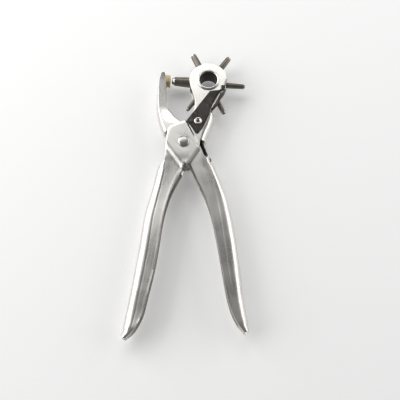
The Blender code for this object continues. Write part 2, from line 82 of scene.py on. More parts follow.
RING_R = 15.0                     # round end of the head
HUB_R = 14.0
HUB_BORE_R = 7.8
HUB_EDGE = 0.9                    # rounding of the hub's rims
HUB_GROOVE = (10.6, 11.4, 0.25)   # inner radius, outer radius and depth of the groove on each face
EYELET_R = 7.6                    # hollow axle of the wheel
EYELET_HOLE_R = 6.9
EYELET_LIP_R = 8.95               # the eyelet's rolled lips
EYELET_LIP_LIFT = 0.35            # middle of a lip's roll above its seat
WHEEL_TURN = -5.6                 # degrees that the active tube points off the -X direction
TUBE_TIP = 29.2                   # cutting edge, from the wheel axis
TUBE_SEAT = 2.6                   # how far a tube is sunk in the hub's rim
HUB_DRILL = 8.0                   # length of the drills that make the tubes' sockets and bores
TUBE_STEP = 0.12                  # a tube is this much slimmer inside the hub
TUBE_COLLAR = 0.9                 # where a tube's taper ends, outside the hub's rim
CUTTING_EDGE = 0.12               # wall left at the cutting edge
# Hole size, outer diameter at the cutting edge and outer diameter at the hub, from the active tube on
# clockwise.
TUBE_SIZES = (
    (4.5, 7.0, 8.3),
    (4.0, 4.8, 5.6),
    (3.5, 4.3, 5.0),
    (3.0, 3.9, 4.6),
    (2.5, 3.5, 4.2),
    (2.0, 3.0, 3.7),
)

GROUND_LENGTHS = (2.2, 1.2, 1.2, 1.2, 1.1, 1.1)   # bright ground tapers at the cutting edges

RIVET_R = 3.0
RIVET_HEAD_R = 4.4
RIVET_HEAD_H = 2.1
RIVET_SINK = 0.3                  # how far the flush end sits below the back plate
RIVET_SINK_R = 4.2
RIVET_SINK_DEPTH = 0.35           # countersink in the back plate
BUSH_R = 4.6

LEAF = 0.7                        # thickness of the detent leaf
LEAF_LIFT = 0.25                  # gap between the leaf and the front cheek
LEAF_DROP = 3.4                   # how far the leaf's rolled edge hangs down beside the hub
LEAF_RIVET = Vector((11.1, 17.7, 0.0))
LEAF_HOLE_R = 2.1
CHEEK_DRILL = 8.0                 # length of the drill that makes the rivet's hole in the front cheek
LEAF_DIMPLE = Vector((5.6, 17.4))
LEAF_FINGER_Y = 45.6              # where the leaf's finger starts
LEAF_SOCKET_R = 1.3               # socket through the leaf's tubular rivet
LEAF_RIVET_ROLL = 0.9

SPRING_PIN = Vector((10.9, 8.6, 0.0))
PIN_R = 1.2
WIRE_R = 0.4
COIL_R = 1.1
COIL_TURNS = 14
HOOK_R = 2.1
HOOK_NECK = 1.6                   # straight length between a hook and the coils
HOOK_OPENING = 60                 # degrees
SPRING_BRIDGE = Vector((18.58, -12.4, 0.0))
SPRING_HOLE = SPRING_BRIDGE + Vector((1.09, -1.79, 0))
SPRING_HOLE_R = 1.3
SPRING_HOLE_AXIS = (0.87, 0.49, 0)

PAD_HALF = ANVIL_HALF - SHEET - GAP
PAD_CENTRE = Vector((-13.45, 57.5, 0.0))
PAD_DEPTH = 5.1
PAD_LENGTH = 6.8
PAD_TURN = -4.4                   # degrees
PAD_EDGE = 0.7
PAD_HOLLOW = (0.0, -0.10, -0.14)  # steps down into the hollow that wear has made in the pad's face
PAD_HOLLOW_STEP = 0.35            # width of each step
PAD_RIVET_R = 1.5
PAD_RIVET_HALF = 2.0
PAD_RIVET_BACK = 3.15             # middle of the anvil rivet, behind the pad's middle
PAD_HOLE_BACK = PAD_DEPTH / 2 + 2.4
WALL_DRILL = 6.0                  # length of the drills that make the holes in the anvil lever's walls

# Fineness of the sheets.
ROW_STEP = 0.9                    # millimetres between rows along a lever
FLAT_COLUMNS = 12
ROLL_COLUMNS = 12
SHARP_EDGE = 24                   # degrees
CROWD_REACH = 5                   # rows over which the columns' crowding is eased
BEVEL_ROOM = 0.45                 # share of the cells beside a cut edge that its rounding may take
LEAST_INNER_ROLL = 0.2            # share of a rolled wall's bulge that its inner face keeps
RING_STEP = 5                     # degrees between the points that close the head's round end

# Plan of the wheel lever, from the left handle's tip to the head: left edge of the flat, right edge of the
# flat, and how far a rolled wall bulges past the left edge and past the right edge (0 where it is open).
WHEEL_LEVER_ROWS = (
    ((-42.4, -149.0), (-40.6, -149.2), 2.2, 0),
    ((-37.6, -144.0), (-35.2, -144.2), 6.0, 0),
    ((-34.6, -133.0), (-29.2, -133.2), 6.6, 0),
    ((-31.9, -118.0), (-25.4, -118.0), 6.5, 0),
    ((-28.2, -98.0), (-20.9, -98.0), 7.0, 0),
    ((-25.4, -79.0), (-17.9, -79.0), 6.8, 0),
    ((-22.9, -60.0), (-15.1, -60.0), 6.8, 0),
    ((-19.6, -45.0), (-11.3, -45.0), 6.4, 0),
    ((-17.0, -33.5), (-7.6, -35.6), 6.1, 0),
    ((-14.9, -22.5), (-4.6, -29.6), 6.0, 0),
    ((-14.6, -17.6), (-3.8, -28.2), 4.8, 0),
    ((-14.4, -14.4), (-3.4, -27.2), 1.6, 0),
    ((-13.8, -7.4), (-2.0, -24.6), 0, 0),
    ((-13.4, 2.6), (0.9, -18.0), 0, 0),
    ((-13.0, 5.4), (4.2, -17.6), 0, 0),
    ((-12.4, 9.0), (8.8, -11.0), 0, 0),
    ((-10.8, 13.0), (11.8, -5.8), 0, 0),
    ((-4.5, 16.0), (11.9, -5.4), 0, 0),
    ((0.8, 17.9), (12.0, -4.8), 0, 0),
    ((2.8, 19.0), (12.2, -1.6), 0, 0),
    ((4.2, 20.8), (12.4, 2.4), 0, 4.8),
    ((5.6, 22.8), (14.2, 9.5), 0, 5.0),
    ((6.6, 25.0), (16.6, 15.8), 0, 5.2),
    ((7.9, 27.5), (19.2, 22.2), 0, 4.6),
    ((8.5, 30.5), (20.6, 25.6), 0, 3.0),
    ((8.6, 36.2), (22.8, 34.0), 0, 0),
    ((7.2, 42.5), (26.0, 40.4), 0, 0),
    ((5.4, 48.7), (31.2, 45.6), 0, 0),
)
RING_ROW_ANGLES = (0, 12, 24, 36, 48, 60)

# Plan of the anvil lever, from the right handle's tip to the jaw's tip.
ANVIL_LEVER_ROWS = (
    ((42.6, -145.4), (44.2, -145.4), 0, 2.2),
    ((38.0, -139.6), (40.2, -139.4), 0, 6.0),
    ((33.6, -130.0), (37.2, -130.0), 0, 7.1),
    ((30.6, -118.0), (35.2, -118.0), 0, 7.4),
    ((27.6, -99.0), (32.5, -99.0), 0, 8.4),
    ((24.4, -79.0), (30.0, -79.0), 0, 8.8),
    ((20.9, -60.0), (27.5, -60.0), 0, 8.3),
    ((16.5, -45.0), (24.8, -45.0), 0, 7.8),
    ((12.4, -35.0), (22.2, -34.5), 0, 7.0),
    ((8.8, -26.5), (19.9, -26.5), 0, 6.2),
    ((5.7, -19.5), (17.8, -20.4), 0, 6.0),
    ((3.4, -15.8), (16.9, -16.0), 0, 4.2),
    ((1.8, -13.2), (16.6, -12.4), 0, 2.6),
    ((-1.0, -9.8), (14.2, -9.2), 0, 0),
    ((-4.0, -6.5), (9.8, -6.6), 0, 0),
    ((-8.6, -1.4), (6.2, -1.4), 0, 0),
    ((-11.4, 4.5), (2.0, 7.4), 0, 0),
    ((-12.8, 10.0), (-1.5, 14.5), 3.4, 0),
    ((-15.6, 17.7), (-3.8, 18.8), 3.5, 0),
    ((-18.2, 25.8), (-8.9, 25.4), 2.6, 0),
    ((-19.5, 33.7), (-13.2, 32.6), 2.1, 0),
    ((-19.8, 45.0), (-13.8, 45.2), 1.4, 0),
    ((-19.3, 55.0), (-14.2, 55.2), 0.9, 0),
    ((-18.0, 60.6), (-14.7, 60.7), 0.7, 0),
    ((-17.0, 62.2), (-15.4, 62.3), 0.5, 0),
)

# Plan of the detent leaf, from the end under its rivet to the finger that clicks on the tubes.
LEAF_ROWS = (
    ((9.2, 7.9), (10.4, 7.6), 0, 0),
    ((6.4, 12.6), (14.5, 12.2), 0, 0),
    ((2.5, 18.9), (17.2, 18.0), 0, 0),
    ((7.9, 26.5), (20.6, 25.4), 0, 0),
    ((10.2, 29.7), (20.9, 28.8), 0, 1.8),
    ((14.2, 35.3), (22.8, 33.4), 0, 3.4),
    ((17.8, 40.4), (24.9, 37.6), 0, 3.5),
    ((20.5, 44.2), (27.0, 41.0), 0, 2.8),
    ((27.8, 45.0), (28.8, 43.6), 0, 1.0),
    ((28.8, 45.7), (32.6, 45.4), 0, 0),
    ((28.9, 49.5), (33.2, 49.1), 0, 0),
)

# A joggle is a point on its crease, the direction in which the plate rises, where the rise starts along
# that direction from the point, and the rise's length.
LOWER_JOGGLE = (Vector((-12.1, 0.8)), Vector((18.3, 12.7)).normalized(), -6.0, 5.6)
UPPER_JOGGLE = (Vector((1.9, 18.3)), Vector((-23.5, -10.9)).normalized(), -0.8, 2.0)
WHEEL_LEVER_END = -151.0          # Y where the left handle's tip is thinnest
ANVIL_LEVER_END = -147.5
TIP_SHARE = 0.62                  # share of its thickness that a handle keeps there
TIP_LENGTH = 9.0
LEFT_LEAN = 0.10                  # slope of the left handle's flat, down towards its rolled wall
RIGHT_LEAN = 0.07                 # the same for the right handle
JAW_LEAN = 0.26                   # slope of the jaw's flat, down towards its open edge
GROOVE_MIDDLE = 0.25              # the pressed line's groove, inwards from a handle's rolled wall
GROOVE_REACH = 0.42
STRUCK_RING = (5.1, 0.5, 0.10)    # radius, reach and depth of the ring struck round the pivot rivet
VALLEY = (1.0, 2.8, 0.45)         # the same for the anvil lever's dished valley, from its right edge
LEAF_BEAD = (-0.9, 0.55, 0.38)    # place from the leaf's right edge, reach and height of its bead
LEAF_GROOVE = (0.35, 0.35, 0.25)
LEAF_DIMPLE_SIZE = (0.9, 0.35)    # reach and height

# Where each form eases in: a start and a length. The TOP ones are measured towards -Y, down a handle, and
# the others towards +Y.
LEFT_LINE_TOP = (11.0, 4.0)
LEFT_LINE_END = (-146.0, 10.0)
LEFT_LEAN_TOP = (8.0, 45.0)
LEFT_LEAN_END = (-149.0, 14.0)
RIGHT_LINE_TOP = (24.0, 30.0)
RIGHT_LINE_END = (-128.0, 16.0)
RIGHT_LEAN_TOP = (24.0, 30.0)
RIGHT_LEAN_END = (-146.0, 14.0)
VALLEY_TOP = (9.0, 12.0)
VALLEY_END = (-66.0, 40.0)
JAW_LEAN_START = (16.0, 16.0)
PAD_STRETCH = (44.0, 6.0)
LEAF_BEAD_START = (26.0, 5.0)

# Name, direction from the tool's middle, distance, width and height in metres, and radiance.
SOFTBOXES = (
    ("back_softbox", (-0.24, 0.88, 0.92), 1.3, 1.5, 0.66, 2.1),
    ("left_softbox", (-1.0, 0.25, 0.48), 1.2, 1.8, 0.8, 2.8),
    ("right_softbox", (1.0, 0.3, 0.40), 1.2, 1.6, 0.6, 2.0),
)
SKY_COLOUR = (0.98, 0.99, 1.0, 1.0)
SKY_STRENGTH = 0.17
FLOOR_GLOW = 0.20
FLOOR_SIZE = 4.0                  # metres to each side

CAMERA_FROM_PIVOT = Vector((12.21, -238.70, 513.47))   # height is from the floor
CAMERA_TILT = 21.0                # degrees off straight down
CAMERA_ROLL = -0.367
CAMERA_ANGLE = 31.09              # field of view


# ----------------------------------------------------------------------------
# Small tools
# ----------------------------------------------------------------------------

def world(point):
    """A point about the pivot and the middle plane, in millimetres, as a place in the scene, in metres."""
    return (PIVOT + Vector(point)) * MM


def smooth_step(value):
    value = min(max(value, 0.0), 1.0)
    return value * value * (3 - 2 * value)


def eased(value, start, length):
    """0 up to start, 1 from start + length on, and smooth between them."""
    return smooth_step((value - start) / length)


def bell(value):
    return math.exp(-value * value)


def spline(before, start, end, after, t):
    """Smooth curve from start to end. Its slopes are never longer than the step, so it can't loop."""
    step = (end - start).length
    slopes = []
    for slope in ((end - before) / 2, (after - start) / 2):
        slopes.append(slope * min(1.0, step / max(slope.length, 1e-9)))
    cube = t * t * (3 - 2 * t)
    return start.lerp(end, cube) + slopes[0] * t * (1 - t) ** 2 - slopes[1] * t * t * (1 - t)


def roll_between(roll, next_roll, t):
    """Bulge of a rolled wall between two rows. It ends square at the last row that has one."""
    if roll and next_roll:
        return roll + (next_roll - roll) * t
    return roll if t == 0 else 0


def refined_rows(rows, straight=False):
    """The plan's rows with smooth curves or straight lines between them, about ROW_STEP apart."""
    points = [(Vector(left), Vector(right), *rest) for left, right, *rest in rows]
    last = len(points) - 1
    fine = []
    for i in range(last):
        left, right, left_roll, right_roll = points[i]
        end = points[i + 1]
        before = points[i] if straight else points[max(i - 1, 0)]
        after = end if straight else points[min(i + 2, last)]
        longest = max((end[0] - left).length, (end[1] - right).length)
        steps = max(1, math.ceil(longest / ROW_STEP))
        for k in range(steps):
            t = k / steps
            fine.append((
                spline(before[0], left, end[0], after[0], t),
                spline(before[1], right, end[1], after[1], t),
                roll_between(left_roll, end[2], t),
                roll_between(right_roll, end[3], t),
            ))
    fine.append(points[last])
    return fine


def outward(rows, i, side):
    """Unit normal of the left (side 0) or right (side 1) edge at row i, pointing away from the flat."""
    along = rows[min(i + 1, len(rows) - 1)][side] - rows[max(i - 1, 0)][side]
    along.normalize()
    normal = Vector((along.y, -along.x))
    return normal if side else -normal


def crowding(rows, column):
    """How closely each row's columns crowd towards a rolled edge, eased in and out along the lever."""
    has_roll = [1.0 if row[column] else 0.0 for row in rows]
    crowds = []
    for i in range(len(rows)):
        near = has_roll[max(i - CROWD_REACH, 0):i + CROWD_REACH + 1]
        crowds.append(sum(near) / len(near))
    return crowds


def link_mesh(name, bm):
    mesh = bpy.data.meshes.new(name)
    bm.to_mesh(mesh)
    bm.free()
    obj = bpy.data.objects.new(name, mesh)
    bpy.context.scene.collection.objects.link(obj)
    return obj


def applied(obj):
    """Turns what the modifiers make of an object into its own mesh."""
    graph = bpy.context.evaluated_depsgraph_get()
    mesh = bpy.data.meshes.new_from_object(obj.evaluated_get(graph))
    obj.modifiers.clear()
    old = obj.data
    obj.data = mesh
    bpy.data.meshes.remove(old)
    return obj


def shade(obj, angle=SHARP_EDGE):
    obj.data.shade_smooth()
    obj.data.set_sharp_from_angle(angle=math.radians(angle))
    return obj


def dress(obj, body, slot, nodes, *materials):
    """Gives a finished piece its materials and its body, and hides the CAD nodes that it stands for."""
    for material in materials:
        obj.data.materials.append(material)
    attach(obj, body)
    if nodes:
        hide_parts(*nodes)
    return obj


def unbent(point, from_left, from_right):
    return 0.0


def section(rows, i, crowd, level, relief, bend, drop, depth):
    """One row's points by column, this far below the sheet's outer face. Both faces follow bend, and only
    the outer one has the relief."""
    left, right, left_roll, right_roll = rows[i]
    width = (right - left).length
    columns = {}
    for k in range(FLAT_COLUMNS + 1):
        share = 1 - (1 - (k / FLAT_COLUMNS) ** (1 + crowd[0])) ** (1 + crowd[1])
        point = left.lerp(right, share)
        across = (share * width, (1 - share) * width)
        raised = bend(point, *across) + (0 if depth else relief(point, *across))
        columns[k] = Vector((point.x, point.y, level(point) - depth + raised))
    for side, roll, edge, first, step in (
        (0, left_roll, left, 0, -1),
        (1, right_roll, right, FLAT_COLUMNS, 1),
    ):
        if not roll:
            continue
        normal = outward(rows, i, side)
        top = level(edge)
        fall = drop or top
        for k in range(1, ROLL_COLUMNS + 1):
            angle = math.pi / 2 * (k / ROLL_COLUMNS) ** 1.5
            reach = max(roll - depth, LEAST_INNER_ROLL * roll) * math.sin(angle)
            point = edge + normal * reach
            across = (-reach, width) if side == 0 else (width, -reach)
            raised = bend(point, *across) + (0 if depth else relief(point, *across))
            z = top - fall + (fall - depth + raised) * math.cos(angle)
            columns[first + step * k] = Vector((point.x, point.y, z))
    return columns


def sheet_piece(
    name, rows, level, relief, bend=unbent, drop=None, mirrored=True, thickness=SHEET, cap=None, painted_highlight=None
):
    """A pressed sheet over a plan. Its flat lies at level(point), plus bend and relief, which both take
    (point, from_left, from_right). Its rolled walls come down by drop, or to the middle plane. cap is an
    arc of points that closes the last row. The last argument, called with (point, column), tells which of
    the outer face's cells get the second material, a painted highlight."""
    bm = bmesh.new()
    weights = bm.edges.layers.float.new("bevel_weight_edge")
    crowds = list(zip(crowding(rows, 2), crowding(rows, 3)))
    last = len(rows) - 1
    vertices = {}

    def vertex(point, *key):
        if key not in vertices:
            vertices[key] = bm.verts.new(world(point))
        return vertices[key]

    for depth in (0, thickness):
        grid = [section(rows, i, crowds[i], level, relief, bend, drop, depth) for i in range(last + 1)]
        for sign in (1, -1) if mirrored else (1,):
            for i in range(last):
                for k in range(-ROLL_COLUMNS, FLAT_COLUMNS + ROLL_COLUMNS):
                    corners = ((i, k), (i, k + 1), (i + 1, k + 1), (i + 1, k))
                    if not all(column in grid[row] for row, column in corners):
                        continue
                    face = []
                    for row, column in corners:
                        x, y, z = grid[row][column]
                        half = sign if abs(z) > 1e-6 else 0
                        face.append(vertex((x, y, sign * z), depth, row, column, half))
                    made = bm.faces.new(face if (sign > 0) == (depth == 0) else face[::-1])
                    # Cells picked by the last argument get the second material, which is a painted
                    # highlight.
                    if painted_highlight and depth == 0 and painted_highlight(grid[i][k], k):
                        made.material_index = 1
            if cap:
                face = [vertices[depth, last, column, sign] for column in range(FLAT_COLUMNS + 1)]
                for k, point in enumerate(cap):
                    height = sign * (level(point) - depth)
                    face.append(vertex((point.x, point.y, height), depth, "cap", k, sign))
                bm.faces.new(face if (sign > 0) == (depth == 0) else face[::-1])
    inner = {v: vertices[thickness, *key[1:]] for key, v in vertices.items() if key[0] == 0}
    rims = [edge for edge in bm.edges if len(edge.link_faces) == 1]
    on_rim = set(rims)
    for edge in rims:
        across = [e.calc_length() for v in edge.verts for e in v.link_edges if e not in on_rim]
        room = min(across, default=0.0)
        edge[weights] = min(1.0, BEVEL_ROOM * room / (CUT_EDGE * MM))
    for edge in rims:
        a, b = edge.verts
        if a in inner:
            bm.faces.new((a, b, inner[b], inner[a]))
    bmesh.ops.recalc_face_normals(bm, faces=bm.faces[:])
    obj = link_mesh(name, bm)
    bevel = obj.modifiers.new("cut edge", "BEVEL")
    bevel.width = min(CUT_EDGE, thickness / 3) * MM
    bevel.segments = 2
    bevel.limit_method = "WEIGHT"
    bevel.use_clamp_overlap = False
    return obj


def drill(obj, *cutters):
    """Cuts round holes. Each cutter is (centre, radius, length, direction)."""
    made = []
    for centre, radius, length, direction in cutters:
        bm = bmesh.new()
        bmesh.ops.create_cone(
            bm, cap_ends=True, segments=64, radius1=radius * MM, radius2=radius * MM, depth=length * MM
        )
        turn = Vector((0, 0, 1)).rotation_difference(Vector(direction)).to_matrix().to_4x4()
        bmesh.ops.transform(bm, matrix=Matrix.Translation(world(centre)) @ turn, verts=bm.verts)
        cutter = link_mesh("cutter", bm)
        made.append(cutter)
        cut = obj.modifiers.new("hole", "BOOLEAN")
        cut.operation = "DIFFERENCE"
        cut.solver = "EXACT"
        cut.object = cutter
    applied(obj)
    for cutter in made:
        bpy.data.objects.remove(cutter, do_unlink=True)
    return obj


def arc(centre_r, centre_z, radius, start, end, steps=8):
    """Points of a profile's rounded corner, between two angles in degrees from the outward direction."""
    points = []
    for k in range(steps + 1):
        angle = math.radians(start + (end - start) * k / steps)
        points.append((centre_r + radius * math.cos(angle), centre_z + radius * math.sin(angle)))
    return points


def turned(name, profile, centre, direction=(0, 0, 1), closed=False, steps=96, slots=None):
    """A lathe shape. The profile holds (radius, height) pairs, from the top down the outer side. slots
    gives the material number of some of the profile's stretches."""
    bm = bmesh.new()
    turn = Vector((0, 0, 1)).rotation_difference(Vector(direction)).to_matrix()
    place = Vector(centre)
    rings = []
    for radius, height in profile:
        if radius < 1e-6:
            point = bm.verts.new(world(place + turn @ Vector((0, 0, height))))
            rings.append([point] * steps)
            continue
        ring = []
        for k in range(steps):
            angle = math.tau * k / steps
            local = Vector((radius * math.cos(angle), radius * math.sin(angle), height))
            ring.append(bm.verts.new(world(place + turn @ local)))
        rings.append(ring)
    stretches = len(profile) if closed else len(profile) - 1
    for i in range(stretches):
        upper = rings[i]
        lower = rings[(i + 1) % len(rings)]
        for k in range(steps):
            n = (k + 1) % steps
            corners = []
            for corner in (upper[k], lower[k], lower[n], upper[n]):
                if corner not in corners:
                    corners.append(corner)
            if len(corners) > 2:
                face = bm.faces.new(corners)
                face.material_index = (slots or {}).get(i, 0)
    return shade(link_mesh(name, bm), 30)


# ----------------------------------------------------------------------------
# Materials
# ----------------------------------------------------------------------------

class Surface:
    """A node material that is built up one node at a time."""

    def __init__(self, name, metallic):
        self.material = bpy.data.materials.new(name)
        self.material.use_nodes = True
        self.tree = self.material.node_tree
        self.shader = self.tree.nodes["Principled BSDF"]
        self.shader.inputs["Metallic"].default_value = metallic
        self.place = self.add("ShaderNodeTexCoord").outputs["Object"]
        self.height = None

    def add(self, kind, **settings):
        node = self.tree.nodes.new(kind)
        for key, value in settings.items():
            setattr(node, key, value)
        return node

    def join(self, source, target):
        self.tree.links.new(source, target)

    def stretched(self, scale, turn=0.0, tilt=0.0):
        """The object's coordinates, turned by some degrees about Z and then scaled along each axis."""
        mapping = self.add("ShaderNodeMapping", vector_type="TEXTURE")
        mapping.inputs["Rotation"].default_value = (math.radians(tilt), 0, math.radians(turn))
        mapping.inputs["Scale"].default_value = [1 / s for s in scale]
        self.join(self.place, mapping.inputs["Vector"])
        return mapping.outputs["Vector"]

    def noise(self, scale, detail=2.0, turn=0.0, roughness=0.5, tilt=0.0, distortion=0.0):
        """Noise with a number of features per metre along each axis."""
        node = self.add("ShaderNodeTexNoise")
        node.inputs["Scale"].default_value = 1.0
        node.inputs["Detail"].default_value = detail
        node.inputs["Roughness"].default_value = roughness
        node.inputs["Distortion"].default_value = distortion
        if not isinstance(scale, tuple):
            scale = (scale, scale, scale)
        self.join(self.stretched(scale, turn, tilt), node.inputs["Vector"])
        return node.outputs["Fac"]

    def between(self, value, low, high, to_low=0.0, to_high=1.0):
        node = self.add("ShaderNodeMapRange", interpolation_type="SMOOTHSTEP")
        limits = {"From Min": low, "From Max": high, "To Min": to_low, "To Max": to_high}
        for socket, number in limits.items():
            node.inputs[socket].default_value = number
        self.join(value, node.inputs["Value"])
        return node.outputs["Result"]

    def math(self, operation, a, b):
        node = self.add("ShaderNodeMath", operation=operation)
        for socket, value in zip(node.inputs, (a, b)):
            if isinstance(value, (int, float)):
                socket.default_value = value
            else:
                self.join(value, socket)
        return node.outputs["Value"]

    def mix(self, factor, first, second):
        """first where factor is 0 and second where it is 1. Each is a colour or another node's colour."""
        node = self.add("ShaderNodeMix", data_type="RGBA")
        self.join(factor, node.inputs["Factor"])
        colour_sockets = [s for s in node.inputs if s.type == "RGBA"]
        for socket, value in zip(colour_sockets, (first, second)):
            if isinstance(value, tuple):
                socket.default_value = (*value, 1.0)
            else:
                self.join(value, socket)
        return [s for s in node.outputs if s.type == "RGBA"][0]

    def colour(self, value):
        self.join(value, self.shader.inputs["Base Color"])

    def roughness(self, value):
        self.join(value, self.shader.inputs["Roughness"])

    def emboss(self, value, depth_mm, strength=1.0):
        """Raises the surface by a share of depth_mm."""
        bump = self.add("ShaderNodeBump")
        bump.inputs["Strength"].default_value = strength
        bump.inputs["Distance"].default_value = depth_mm * MM
        self.join(value, bump.inputs["Height"])
        if self.height:
            self.join(self.height, bump.inputs["Normal"])
        self.height = bump.outputs["Normal"]
        self.join(self.height, self.shader.inputs["Normal"])


def satin_nickel(name, grain_turn):
    """Tumbled nickel plate over pressed steel: soft waves from the press, fine grain, streaks and nicks."""
    s = Surface(name, 1.0)
    clouds = s.noise(55, 3.0)
    streaks = s.noise((900, 60, 900), 3.0, grain_turn)
    scratch_a = s.between(s.noise((2600, 70, 400), 1.0, grain_turn + 28), 0.73, 0.77)
    scratch_b = s.between(s.noise((2400, 90, 400), 1.0, grain_turn - 34), 0.73, 0.77)
    scratches = s.math("MAXIMUM", scratch_a, scratch_b)
    pits = s.between(s.noise(900, 1.0), 0.80, 0.86)
    base = s.mix(s.between(clouds, 0.35, 0.65), (0.70, 0.68, 0.65), (0.80, 0.78, 0.745))
    base = s.mix(s.between(streaks, 0.35, 0.7), base, (0.76, 0.735, 0.69))
    base = s.mix(pits, base, (0.50, 0.48, 0.45))
    s.colour(base)
    rough = s.between(streaks, 0.3, 0.7, 0.25, 0.29)
    rough = s.math("ADD", rough, s.math("MULTIPLY", s.between(clouds, 0.3, 0.7), 0.06))
    rough = s.math("SUBTRACT", rough, s.math("MULTIPLY", scratches, 0.04))
    s.roughness(rough)
    s.emboss(s.noise(70, 1.0), 0.35, 0.15)
    s.emboss(streaks, 0.008, 0.4)
    s.emboss(s.math("SUBTRACT", 1.0, scratches), 0.006, 0.2)
    s.emboss(s.math("SUBTRACT", 1.0, pits), 0.02, 0.4)
    return s.material


def bright_nickel(name, low, high, least_rough, most_rough):
    """Smooth plate over a turned or rolled piece, with hammer marks and a little haze."""
    s = Surface(name, 1.0)
    haze = s.noise(240, 3.0)
    s.colour(s.mix(s.between(haze, 0.35, 0.65), low, high))
    s.roughness(s.between(haze, 0.3, 0.7, least_rough, most_rough))
    s.emboss(s.noise(330, 1.5), 0.02, 0.3)
    s.emboss(s.noise(1500, 2.0), 0.01, 0.4)
    return s.material


def black_oxide(name, low, high, sheen):
    """Oiled black oxide: nearly black, with brown and green clouds and lighter rubbed spots."""
    s = Surface(name, 0.75)
    clouds = s.noise(160, 3.0)
    fine = s.noise(1400, 2.0)
    rubbed = s.between(s.noise((700, 120, 700), 2.0, 20), 0.60, 0.74)
    base = s.mix(s.between(clouds, 0.35, 0.65), low, high)
    base = s.mix(s.math("MULTIPLY", rubbed, 0.55), base, sheen)
    s.colour(base)
    s.roughness(s.between(fine, 0.3, 0.7, 0.30, 0.44))
    s.emboss(fine, 0.015, 0.5)
    s.emboss(clouds, 0.05, 0.25)
    return s.material


def anvil_brass():
    """Sawn brass block, dulled, with saw lines across it and small dents from the tubes."""
    s = Surface("anvil_brass", 1.0)
    lines = s.noise((200, 200, 3200), 2.0)
    tarnish = s.noise(260, 3.0)
    base = s.mix(s.between(tarnish, 0.3, 0.7), (0.50, 0.43, 0.25), (0.38, 0.32, 0.17))
    s.colour(base)
    s.roughness(s.between(lines, 0.3, 0.7, 0.30, 0.46))
    s.emboss(lines, 0.03, 0.6)
    s.emboss(tarnish, 0.05, 0.3)
    return s.material


def ground_steel():
    """Bare steel with fine grinding marks."""
    s = Surface("ground_steel", 1.0)
    marks = s.noise((3000, 3000, 500), 2.0, 15)
    s.colour(s.mix(s.between(marks, 0.3, 0.7), (0.42, 0.41, 0.38), (0.60, 0.58, 0.55)))
    s.roughness(s.between(marks, 0.3, 0.7, 0.20, 0.34))
    s.emboss(marks, 0.01, 0.5)
    return s.material


def floor_paint():
    """Matt pale studio board."""
    s = Surface("pale_board", 0.0)
    grain = s.noise(600, 2.0)
    s.colour(s.mix(grain, (0.88, 0.88, 0.875), (0.92, 0.92, 0.915)))
    s.shader.inputs["Roughness"].default_value = 0.8
    s.shader.inputs["Emission Color"].default_value = (1.0, 1.0, 0.99, 1.0)
    s.shader.inputs["Emission Strength"].default_value = FLOOR_GLOW
    s.emboss(grain, 0.02, 0.2)
    return s.material


NICKEL_LEFT = satin_nickel("satin_nickel_left_grain", -14)
NICKEL_RIGHT = satin_nickel("satin_nickel_right_grain", 14)
NICKEL_BRIGHT = bright_nickel(
    "bright_nickel_eyelet", (0.72, 0.705, 0.67), (0.82, 0.805, 0.77), 0.20, 0.28
)
# Rougher nickel for the pivot rivet. Its darker colour is partly a duller plate and partly painted shade
# for the dome's dark lower side.
NICKEL_RIVET_PAINTED_SHADE = bright_nickel(
    "dull_nickel_rivet_painted_shade", (0.48, 0.47, 0.445), (0.58, 0.565, 0.535), 0.30, 0.36
)
OXIDE_LEAF = black_oxide(
    "black_oxide_leaf", (0.035, 0.031, 0.029), (0.055, 0.047, 0.044), (0.13, 0.11, 0.12)
)
# Painted highlight: light grey oxide for the stripe along the leaf's bead and the outline round its finger,
# where light catches them.
OXIDE_PAINTED_HIGHLIGHT = black_oxide(
    "black_oxide_painted_highlight_edge", (0.50, 0.48, 0.46), (0.70, 0.68, 0.65), (0.80, 0.78, 0.75)
)
OXIDE_TUBE = black_oxide(
    "black_oxide_tube", (0.155, 0.140, 0.115), (0.220, 0.200, 0.165), (0.30, 0.28, 0.24)
)
OXIDE_HUB = black_oxide(
    "black_oxide_hub", (0.03, 0.028, 0.026), (0.05, 0.046, 0.042), (0.10, 0.095, 0.09)
)
OXIDE_WIRE = black_oxide(
    "black_oxide_wire", (0.02, 0.019, 0.018), (0.035, 0.033, 0.031), (0.10, 0.095, 0.09)
)
# Painted shade: a dark colour for the inside of the eyelet's bore, standing in for the shade down the bore.
BORE_PAINTED_SHADE = black_oxide(
    "bore_painted_shade", (0.045, 0.034, 0.030), (0.065, 0.050, 0.044), (0.09, 0.07, 0.06)
)
BRASS = anvil_brass()
STEEL = ground_steel()


# ----------------------------------------------------------------------------
# Levers
# ----------------------------------------------------------------------------

def tip_share(distance):
    """How much of its thickness a handle keeps this far from the end of its tip."""
    return TIP_SHARE + (1 - TIP_SHARE) * smooth_step(distance / TIP_LENGTH)


def rise(point, joggle):
    """0 before a joggle and 1 beyond it."""
    crease, direction, start, length = joggle
    along = (Vector((point.x, point.y)) - crease).dot(direction)
    return eased(along, start, length)


def wheel_lever_level(point):
    """Half thickness of the wheel lever, raised round the pivot between the joggles."""
    raised = rise(point, LOWER_JOGGLE) * rise(point, UPPER_JOGGLE)
    return (CHEEK_HALF + (PLATE_HALF - CHEEK_HALF) * raised) * tip_share(point.y - WHEEL_LEVER_END)


def anvil_lever_level(point):
    return ANVIL_HALF * tip_share(point.y - ANVIL_LEVER_END)


def pressed_line(from_wall, from_open_edge, lowered, groove):
    """Drop of a handle's flat below its rolled wall, and the groove along the wall."""
    step = -lowered * eased(from_wall, -0.2, 0.9) * eased(from_open_edge, -0.1, 1.5)
    return step - groove * bell((from_wall - GROOVE_MIDDLE) / GROOVE_REACH)


def along_handle(point, top, end):
    """1 along a handle, eased down to 0 above its top and past its tip-side end."""
    return eased(-point.y, *top) * eased(point.y, *end)


